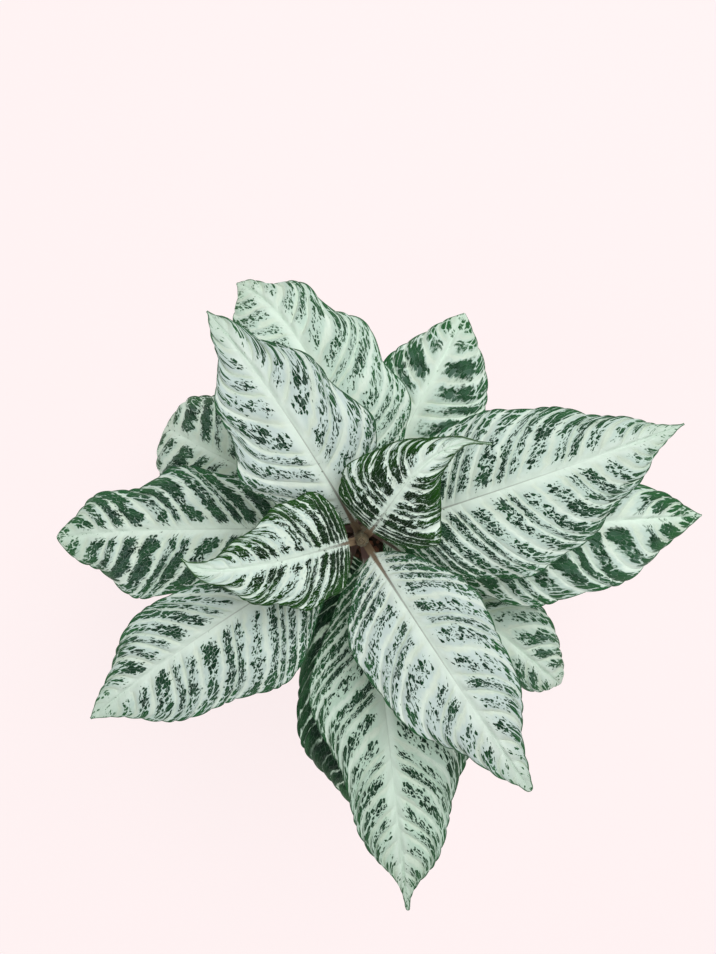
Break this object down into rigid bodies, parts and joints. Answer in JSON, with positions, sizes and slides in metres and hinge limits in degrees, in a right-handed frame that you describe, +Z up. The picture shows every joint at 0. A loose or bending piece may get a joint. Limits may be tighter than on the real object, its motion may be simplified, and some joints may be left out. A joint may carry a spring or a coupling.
{
  "type": "potted zebra plant",
  "caption": "Houseplant in a plain clay pot: crossed pairs of pointed green and white striped leaves on one upright stem.",
  "frame": {"origin": "centre of the pot's flat base, under the stem", "axes": "+Z up along the stem and the pot's axis; +Y towards the leaves named north, +X towards those named east"},
  "size_m": [0.3729, 0.3481, 0.3],
  "materials": {
    "pot_clay": "matte",
    "soil": "matte",
    "stem": "satin",
    "young_leaf": "satin",
    "leaf": "satin"
  },
  "bodies": {
    "root": {"pot": "pot_clay", "soil": "soil", "stem": "stem", "leaf_1_northeast": "young_leaf", "leaf_1_west": "young_leaf", "leaf_2_northwest": "leaf", "leaf_2_southeast": "leaf", "leaf_3_east": "leaf", "leaf_3_southwest": "leaf", "leaf_4_south": "leaf", "leaf_4_north": "leaf", "leaf_5_east": "leaf", "leaf_5_west": "leaf", "leaf_6_northeast": "leaf", "leaf_6_southwest": "leaf", "leaf_7_northwest": "leaf", "leaf_7_southeast": "leaf"}
  },
  "joints": []
}
